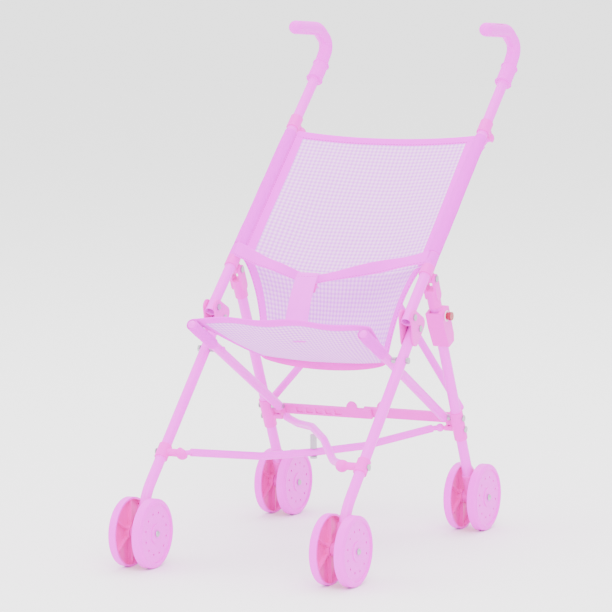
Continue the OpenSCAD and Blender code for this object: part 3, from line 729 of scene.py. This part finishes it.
loop, loop_area = sheet_piece("crotch_loop", loop_place, 8, 14, (0.026, 0.030), 0.0014, pale_tape)
tab, tab_area = sheet_piece("loop_tab",
                            lambda u, v: WAIST + Vector((0.004 + u * 0.009, -0.0062 - 0.004 * v,
                                                         -0.004 - 0.0095 * v + 0.002 * u)),
                            8, 6, (0.018, 0.0105), 0.0013, strong_binding)
for obj, flat, made in ((loop, (0.027, 0.040), loop_area), (tab, (0.0195, 0.0115), tab_area)):
    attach(obj, "harness")
print("crotch strap", round(crotch_area, 5), "loop", round(loop_area, 5))

# %% [markdown]
# ## Small mouldings
#
# Each grip has a raised bead along its back. It is a thin curve laid along the grip's outline and
# turned into a mesh.

# %% grip beads
def bead(name, body, points, radius, mat):
    """A thin round bead through a few points."""
    curve = bpy.data.curves.new(name, "CURVE")
    curve.dimensions = "3D"
    curve.bevel_depth = radius
    curve.bevel_resolution = 3
    spline = curve.splines.new("BEZIER")
    spline.bezier_points.add(len(points) - 1)
    for point, place in zip(spline.bezier_points, points):
        point.co = place
        point.handle_left_type = point.handle_right_type = "AUTO"
    curve.use_fill_caps = True
    obj = bpy.data.objects.new(name, curve)
    bpy.context.collection.objects.link(obj)
    only(obj)
    bpy.ops.object.convert(target="MESH")
    obj = bpy.context.object
    obj.data.materials.append(mat)
    bpy.ops.object.shade_smooth_by_angle(angle=math.radians(50))
    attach(obj, body)
    return obj


for s, side in ((-1, "left"), (1, "right")):
    low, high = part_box(side + "_grip")
    top, back, tip = high.z, high.y, low.y
    x = s * (TUBE_X + 0.0035)
    outline = [(tip + 0.008, top - 0.0032), (tip + 0.034, top - 0.0036),
               (back - 0.036, top - 0.0065), (back - 0.022, top - 0.0118), (back - 0.009, top - 0.0225),
               (back - 0.0045, top - 0.033), (back - 0.011, top - 0.043), (back - 0.024, top - 0.0555)]
    bead(side + "_grip_bead", side + "_handle", [(x, y, z) for y, z in outline], 0.0011, ridge_plastic)
print("grip beads")

# %% [markdown]
# The collar of a grip has a rolled lip at each end, and each wheel has a bead round its outer face. A
# lip is a torus with its tube a little flattened, placed round the tube or axle it sits on.

# %% lips
def lip(name, body, place, direction, major, minor, mat):
    """A slightly flattened ring at a place, its axis along a direction."""
    bpy.ops.object.select_all(action="DESELECT")
    bpy.ops.mesh.primitive_torus_add(major_radius=major, minor_radius=minor, major_segments=40,
                                     minor_segments=10)
    obj = bpy.context.object
    obj.name = obj.data.name = name
    for v in obj.data.vertices:
        v.co.z *= 0.7
    obj.data.transform(Matrix.Translation(place) @ aimed(direction))
    obj.data.materials.append(mat)
    only(obj)
    bpy.ops.object.shade_smooth_by_angle(angle=math.radians(60))
    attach(obj, body)
    return obj


COLLAR_ENDS = (0.3405, 0.3636)       # distances up the handle
for s, side in ((-1, "left"), (1, "right")):
    for i, up in enumerate(COLLAR_ENDS):
        y, z = on_handle(up)
        lip(f"{side}_collar_lip_{i}", side + "_handle", (s * TUBE_X, y, z), handle_dir, 0.0086, 0.0012,
            grip_plastic)
    for f in ("front", "rear"):
        for io, sign in (("outer", 1), ("inner", -1)):
            disc = f"{side}_{f}_{io}"
            wheel = disc + "_wheel"
            low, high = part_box(wheel)
            centre = (low + high) / 2
            face_x = high.x if sign * s > 0 else low.x
            lip(disc + "_rim_bead", wheel, (face_x, centre.y, centre.z), (1, 0, 0), WHEEL_R - 0.0045,
                0.0009, frame["nodes"][wheel].data.materials[0])
print("lips are on")

# %% [markdown]
# The latch button sits in a pale ring that is pressed into the housing.

# %% button ring
low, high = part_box("latch_button")
press = (low + high) / 2
lip("button_ring", "right_rear_leg", (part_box("latch_housing")[1].x, press.y, press.z), (1, 0, 0),
    0.0052, 0.0009, ring_plastic)
print("button ring at", [round(c, 4) for c in press])
